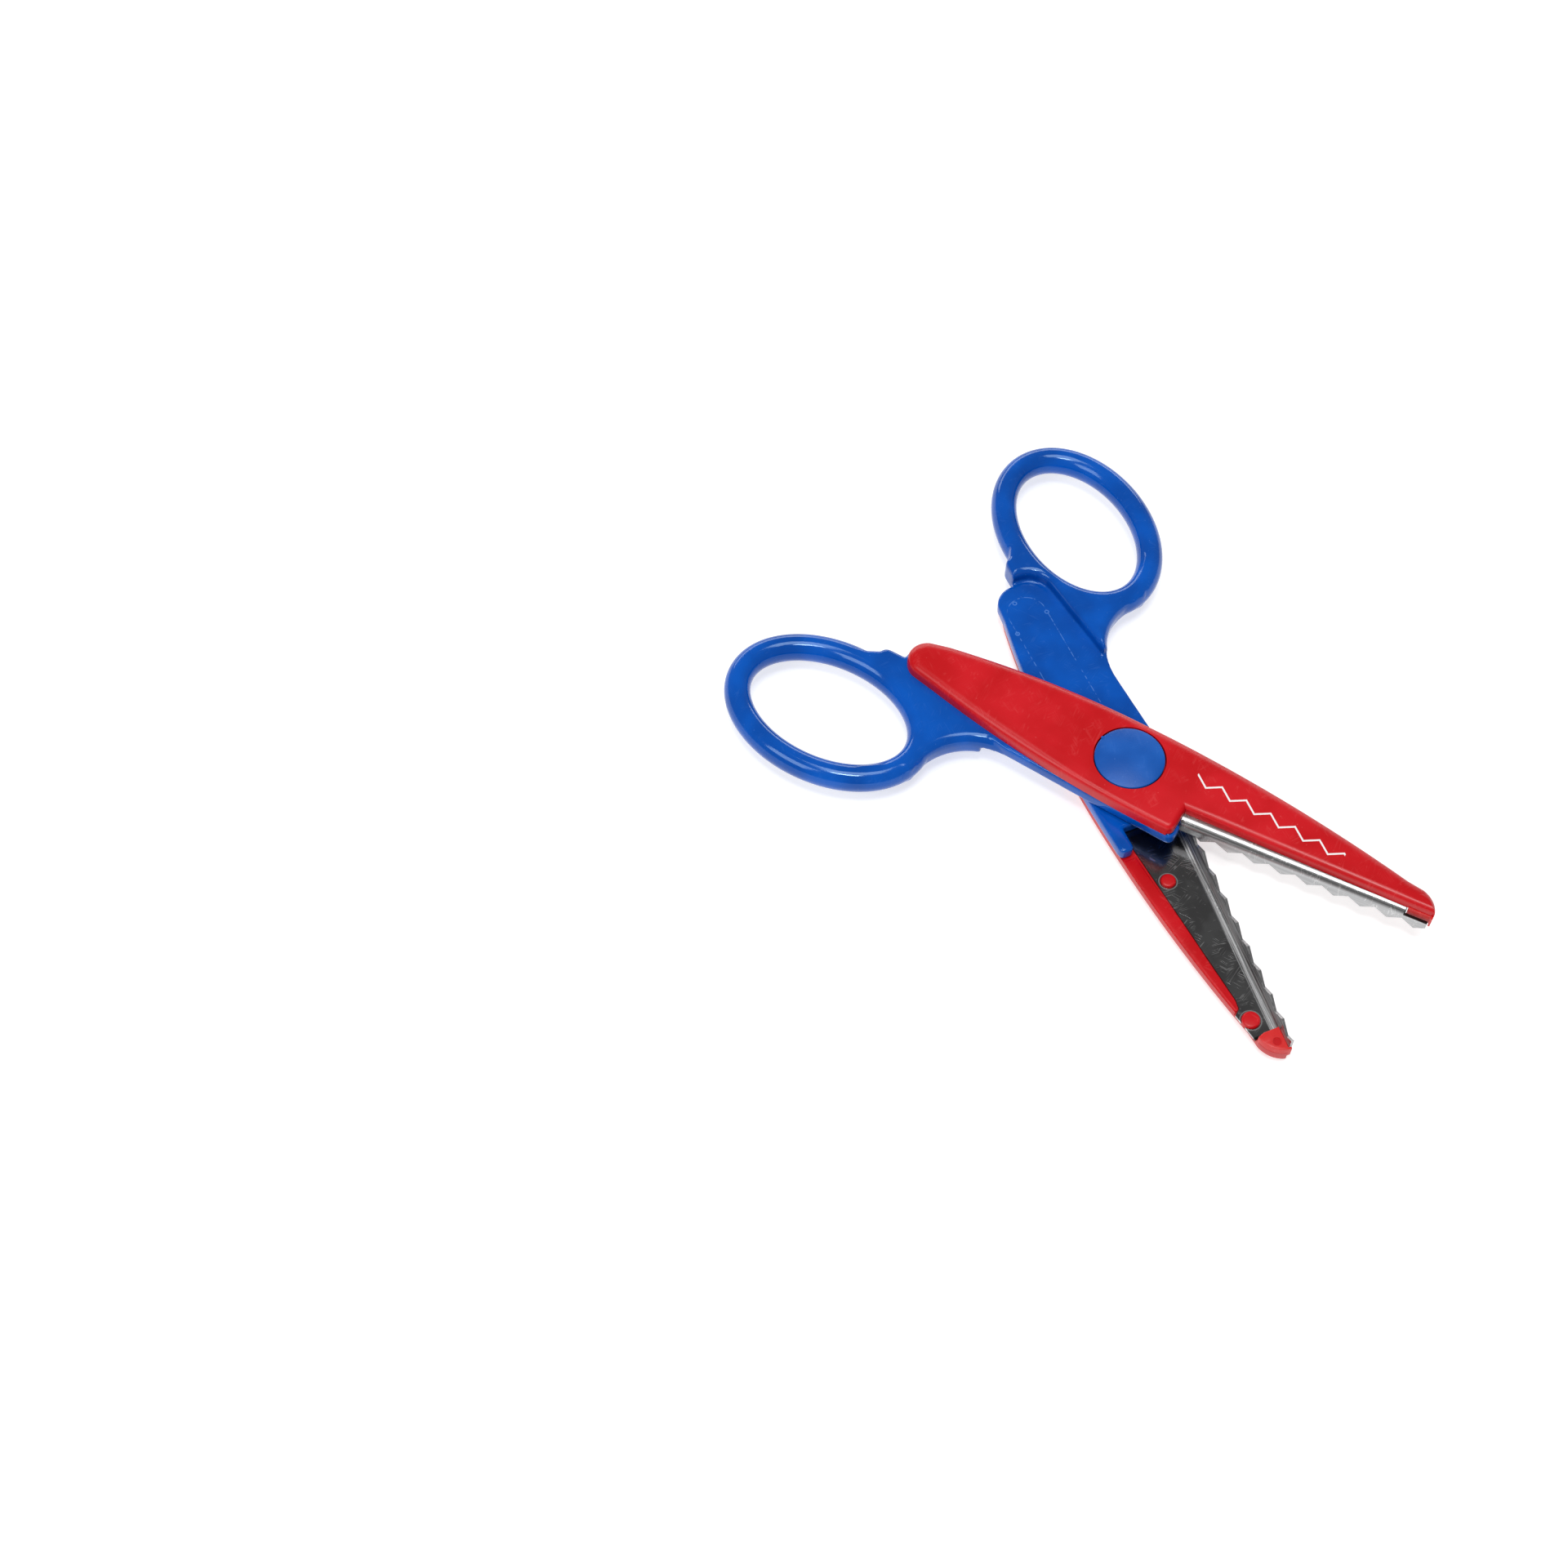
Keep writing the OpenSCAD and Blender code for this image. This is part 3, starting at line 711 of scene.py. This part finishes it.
def steel(name, lever):
    """Steel with painted light: lit and shaded copies of one steel, a lighter outer wall and the inner
    flat painted dark as a dark reflection, a painted highlight strip of lines inside the bend, painted
    shade on the bend's upper outside and a painted shadow at the nose end.
    """
    mat, tree, shader, place = new_material(name, lever)
    x, y, z = node(tree, "ShaderNodeSeparateXYZ", {0: place}).outputs
    inward = math_node(tree, "SUBTRACT", y, multiply_add(tree, x, WALL_SLOPE, WALL_Y))
    along_wall = node(tree, "ShaderNodeCombineXYZ", {
        0: math_node(tree, "MULTIPLY", x, 0.04), 1: math_node(tree, "MULTIPLY", inward, 3.0), 2: z})
    lines = node(tree, "ShaderNodeTexNoise", {
        "Vector": along_wall.outputs[0], "Scale": 1.6, "Detail": 3.0})
    cloud = node(tree, "ShaderNodeTexNoise", {"Vector": place, "Scale": 0.25, "Detail": 2.0})
    scuffs = use(tree, SCUFFS, Place=place, Scratch_Amount=0.6, Speck_Amount=0.6)
    stripes = ramp(tree, lines.outputs["Fac"], 0.36, 0.64)
    outer = blend_colour(tree, stripes, (0.36, 0.365, 0.37, 1), (0.44, 0.445, 0.45, 1))
    # Painted shade: the upper part of the bend's outside, under the cover's edge, is painted darker.
    bend = math_node(tree, "MULTIPLY", ramp(tree, z, 2.0, 2.5),
                     ramp(tree, inward, 1.5, 1.8, 1.0, 0.0))
    outer = blend_colour(tree, bend, outer, (0.24, 0.24, 0.243, 1))
    # Painted shade: the inner flat is painted dark, standing in for the dark reflection it shows; the
    # outer wall is the lighter copy of the same steel.
    flat = blend_colour(tree, ramp(tree, cloud.outputs["Fac"], 0.35, 0.65),
                        (0.15, 0.148, 0.15, 1), (0.2, 0.2, 0.202, 1))
    # Painted highlight: a bright lined strip along the inside of the bend.
    painted_highlight_band = blend_colour(tree, stripes, (0.22, 0.22, 0.225, 1), (0.75, 0.75, 0.755, 1))
    inner = blend_colour(tree, ramp(tree, inward, 1.9, 2.15), painted_highlight_band, flat)
    # The inner face takes the painted-dark flat and the painted highlight lines; the outer face keeps
    # the lighter painted wall.
    inside = math_node(tree, "MULTIPLY", ramp(tree, z, 2.72, 2.8, 1.0, 0.0),
                       ramp(tree, inward, 0.36, 0.46))
    colour = blend_colour(tree, inside, outer, inner)
    rings = None
    for peg, radius in ((REAR_PEG, 1.66), (FRONT_PEG, 1.92)):
        ring = near(tree, distance(tree, x, y, *peg), radius, 0.06, 0.14, 0.8)
        rings = ring if rings is None else math_node(tree, "MAXIMUM", rings, ring)
    marks = math_node(tree, "MAXIMUM", scuffs.outputs["Scratches"], scuffs.outputs["Specks"], True)
    marks = math_node(tree, "MAXIMUM", marks, rings)
    colour = blend_colour(tree, marks, colour, (0.7, 0.7, 0.7, 1))
    # Painted shadow: the end of the bend at the nose, in the gap under the cover, is painted near black.
    painted_nose_shadow = math_node(tree, "MULTIPLY", ramp(tree, x, 55.75, 55.85), ramp(tree, z, 1.9, 2.05))
    colour = blend_colour(tree, painted_nose_shadow, colour, (0.03, 0.03, 0.03, 1))
    tree.links.new(colour, shader.inputs["Base Color"])
    tree.links.new(ramp(tree, inward, 1.9, 2.2, 0.3, 0.17), shader.inputs["Roughness"])
    shader.inputs["Metallic"].default_value = 1.0
    height = math_node(tree, "SUBTRACT", lines.outputs["Fac"], math_node(tree, "MULTIPLY", marks, 0.7))
    tree.links.new(bump(tree, height, 0.5, 0.00002), shader.inputs["Normal"])
    return mat


def zigzag_mask(tree, place):
    """White zigzag line printed on the cover."""
    x, y, z = node(tree, "ShaderNodeSeparateXYZ", {0: place}).outputs
    pitch, height, width = 4.95, 0.9, 0.17
    start, end = 12.2, 42.2
    along = math_node(tree, "SUBTRACT", x, start)
    phase = math_node(tree, "PINGPONG", along, pitch / 2)
    wave = math_node(tree, "MULTIPLY", math_node(tree, "SUBTRACT", phase, pitch / 4),
                     -4 * height / pitch)
    line = math_node(tree, "ADD", wave, multiply_add(tree, along, -0.05, 2.4))
    away = math_node(tree, "ABSOLUTE", math_node(tree, "SUBTRACT", y, line))
    away = math_node(tree, "MULTIPLY", away, math.cos(math.atan(4 * height / pitch)))
    mask = ramp(tree, away, width - 0.05, width + 0.05, 1.0, 0.0)
    ends = math_node(tree, "MULTIPLY", ramp(tree, x, start - 0.05, start + 0.05),
                     ramp(tree, x, end - 0.05, end + 0.05, 1.0, 0.0))
    face = ramp(tree, z, 5.3, 5.4)
    return math_node(tree, "MULTIPLY", math_node(tree, "MULTIPLY", mask, ends), face)


RED_DEEP, RED_LIGHT = srgb(188, 0, 10), srgb(202, 0, 18)
BLUE_DEEP, BLUE_LIGHT = srgb(0, 70, 160), srgb(0, 84, 184)
PINK_MARK, PALE_BLUE_MARK = srgb(230, 90, 90), srgb(90, 140, 215)

materials = {}
for lever in ("upper", "lower"):
    mat, tree, shader, place, colour = plastic(
        lever + "_cover_red", lever, RED_DEEP, RED_LIGHT, 0.3, 0.08, 0.008, 0.16, 0.4, PINK_MARK)
    if lever == "upper":
        print_mask = zigzag_mask(tree, place)
        tree.links.new(blend_colour(tree, print_mask, colour, srgb(240, 238, 238)),
                       shader.inputs["Base Color"])
    materials[lever + "_cover"] = mat
    mat, tree, shader, place, colour = plastic(
        lever + "_handle_blue", lever, BLUE_DEEP, BLUE_LIGHT, 0.09, 0.06, 0.003, 0.07, 0.25,
        PALE_BLUE_MARK)
    marks = math_node(tree, "MULTIPLY", use(tree, TONGUE_MARKS, Place=place).outputs["Marks"], 0.6)
    tree.links.new(blend_colour(tree, marks, colour, PALE_BLUE_MARK), shader.inputs["Base Color"])
    shader.inputs["Specular IOR Level"].default_value = 0.5
    shader.inputs["Specular Tint"].default_value = (0.6, 0.85, 1, 1)
    materials[lever + "_handle"] = mat
    materials[lever + "_blade"] = steel(lever + "_blade_steel", lever)
    mat, tree, shader, place, colour = plastic(
        lever + "_tip_red", lever, srgb(205, 38, 38), srgb(222, 60, 56), 0.3, 0.1, 0.01, 0.3, 0.4,
        PINK_MARK)
    x, y, z = node(tree, "ShaderNodeSeparateXYZ", {0: place}).outputs
    gate = math_node(tree, "MULTIPLY",
                     ramp(tree, distance(tree, x, y, *GATE), 0.65, 0.85, 1.0, 0.0),
                     ramp(tree, z, 1.35, 1.5, 1.0, 0.0))
    tree.links.new(blend_colour(tree, gate, colour, srgb(190, 12, 20)), shader.inputs["Base Color"])
    shader.inputs["Subsurface Weight"].default_value = 0.2
    shader.inputs["Subsurface Radius"].default_value = (0.002, 0.0006, 0.0005)
    materials[lever + "_tip"] = mat
materials["button"] = plastic(
    "button_blue", "both", srgb(0, 76, 162), srgb(2, 90, 182), 0.34, 0.12, 0.02, 0.06, 0.3,
    PALE_BLUE_MARK)[0]


def paint(obj, mat):
    obj.data.materials.clear()
    obj.data.materials.append(mat)


# ------------------------------------------------------------------- assembly
handle, cover, rim, tip = build_handle(), build_cover(), build_rim(), build_tip()
peg_rear, peg_front = build_peg(*REAR_PEG, 1.4), build_peg(*FRONT_PEG, 1.65)
for lever in ("upper", "lower"):
    body = lever + "_lever"
    for source, part, finish, stand_for, slot_name in (
        (handle, "handle_shell", "handle", "handle", "handle_plastic"),
        (cover, "cover_shell", "cover", "cover", "cover_plastic"),
        (rim, "cover_rim", "cover", None, "cover_plastic"),
        (tip, "cover_tip", "tip", None, "cover_plastic"),
        (peg_rear, "rear_peg", "cover", None, "cover_plastic"),
        (peg_front, "front_peg", "cover", None, "cover_plastic"),
    ):
        piece = placed(copied(source, lever + "_" + part), lever)
        paint(piece, materials[lever + "_" + finish])
        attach(piece, body)
        if stand_for:
            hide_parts(lever + "_" + stand_for)
    paint(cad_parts[lever + "_blade"], materials[lever + "_blade"])
for source in (handle, cover, rim, tip, peg_rear, peg_front):
    bpy.data.objects.remove(source)

for side in ("upper", "lower"):
    button = build_button()
    button.name = side + "_button_cap"
    placed(button, side)
    paint(button, materials["button"])
    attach(button, "lower_lever")
    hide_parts(side + "_button")

# ---------------------------------------------------------------------- stage
deselect()
bpy.ops.mesh.primitive_plane_add(size=6, location=(0, 0, 0))
floor = bpy.context.active_object
floor.name = "floor"
floor_mat = bpy.data.materials.new("floor_white")
floor_mat.use_nodes = True
floor_inputs = floor_mat.node_tree.nodes["Principled BSDF"].inputs
floor_inputs["Base Color"].default_value = (0.6, 0.6, 0.6, 1)
floor_inputs["Roughness"].default_value = 0.9
floor_inputs["Specular IOR Level"].default_value = 0.0
floor_inputs["Emission Color"].default_value = (1, 1, 1, 1)
floor_inputs["Emission Strength"].default_value = 0.62
floor.data.materials.append(floor_mat)


def camera_axes(elevation, roll):
    """Right, down and forward of the camera before it is turned about the vertical."""
    s, c = math.sin(elevation), math.cos(elevation)
    right, down, ahead = Vector((1, 0, 0)), Vector((0, -s, -c)), Vector((0, c, -s))
    rs, rc = math.sin(roll), math.cos(roll)
    return rc * right - rs * down, rs * right + rc * down, ahead


AZIMUTH, ELEVATION, ROLL = (math.radians(a) for a in (46.7, 57.75, 2.26))
turn = Matrix.Rotation(AZIMUTH, 3, "Z")
right, down, ahead = (turn @ v for v in camera_axes(ELEVATION, ROLL))
# The pivot as the camera has it: to the right, down and ahead, in metres.
offset = (0.06273, -0.00183, 0.50786)
eye = Vector((0, 0, MID_Z * 0.001)) - (offset[0] * right + offset[1] * down + offset[2] * ahead)
camera_data = bpy.data.cameras.new("camera")
camera_data.sensor_width = 36
camera_data.lens = 63.58
camera_data.clip_start = 0.01
camera = bpy.data.objects.new("camera", camera_data)
bpy.context.collection.objects.link(camera)
camera.matrix_world = Matrix.Translation(eye) @ Matrix((right, -down, -ahead)).transposed().to_4x4()
bpy.context.scene.camera = camera


def soft_light(name, place, size, power):
    """A softbox that points at the origin."""
    data = bpy.data.lights.new(name, "AREA")
    data.shape = "RECTANGLE"
    data.size, data.size_y = size
    data.energy = power
    light = bpy.data.objects.new(name, data)
    bpy.context.collection.objects.link(light)
    light.location = place
    light.rotation_euler = (-place).to_track_quat("-Z", "Y").to_euler()


def away(along_right, away_from_camera, height):
    """A place given as the camera sees it: to the right, behind the object, above the table."""
    flat = Vector((ahead.x, ahead.y, 0)).normalized()
    side = Vector((flat.y, -flat.x, 0))
    return side * along_right + flat * away_from_camera + Vector((0, 0, height))


soft_light("overhead_softbox", away(0.0, -0.02, 1.2), (0.55, 0.45), 4.6)
soft_light("near_softbox", away(-0.1, -0.3, 1.0), (0.24, 0.12), 3.2)
soft_light("front_softbox", away(-0.72, -0.52, 0.84), (0.5, 0.5), 4)
soft_light("back_strip", away(-0.1, 1.1, 0.32), (1.6, 0.3), 5)

world = bpy.data.worlds.new("studio")
bpy.context.scene.world = world
world.use_nodes = True
world.node_tree.nodes["Background"].inputs["Color"].default_value = (1, 1, 1, 1)
world.node_tree.nodes["Background"].inputs["Strength"].default_value = 0.25
bpy.context.scene.view_settings.view_transform = "Standard"
